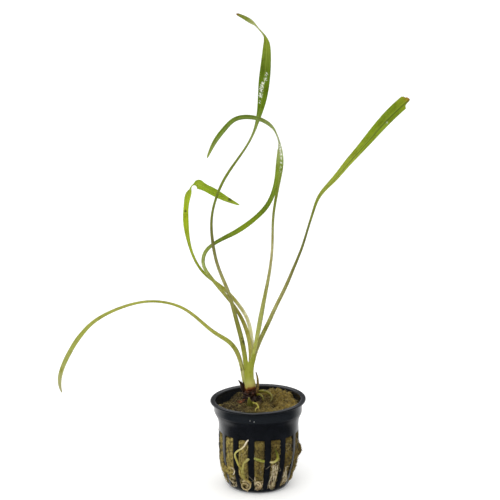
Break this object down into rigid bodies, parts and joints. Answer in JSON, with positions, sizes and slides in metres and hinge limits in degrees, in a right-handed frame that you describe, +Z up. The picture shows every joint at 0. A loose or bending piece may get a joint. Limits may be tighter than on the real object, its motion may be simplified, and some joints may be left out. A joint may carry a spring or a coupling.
{
  "type": "potted cryptocoryne",
  "caption": "Ribbon-leaved water plant with long arching, looping and drooping leaves, rooted in mineral wool in a slotted black net pot with roots showing in the slots.",
  "frame": {"origin": "centre of the pot's underside", "axes": "+Z up the plant, +X to the right and -Y towards the front of the pictured view"},
  "size_m": [0.2005, 0.0703, 0.2718],
  "materials": {
    "black_plastic": "satin",
    "mineral_wool": "matte",
    "rootstock": "matte",
    "leaf": "satin",
    "shoot": "satin",
    "withered_leaf": "matte",
    "root": "matte"
  },
  "bodies": {
    "root": {"net_pot": "black_plastic", "rockwool_plug": "mineral_wool", "crown": "rootstock", "leaf_drooping": "leaf", "leaf_tall": "leaf", "leaf_arched": "leaf", "leaf_folded": "leaf", "leaf_looped": "leaf", "leaf_torn": "leaf", "young_leaf": "leaf", "curled_shoot": "shoot", "arched_runner": "shoot", "short_runner": "shoot", "runner_stub": "shoot", "side_shoot": "shoot", "dry_sheath": "withered_leaf", "withered_leaf_base": "withered_leaf", "rusty_leaf_scrap": "withered_leaf", "cream_root": "root", "thin_root": "root", "pale_root": "root", "low_root": "root", "hanging_root_left": "root", "hanging_root_middle": "root", "hanging_root_right": "root", "right_root": "root", "front_root": "root", "coiled_root": "root"}
  },
  "joints": []
}
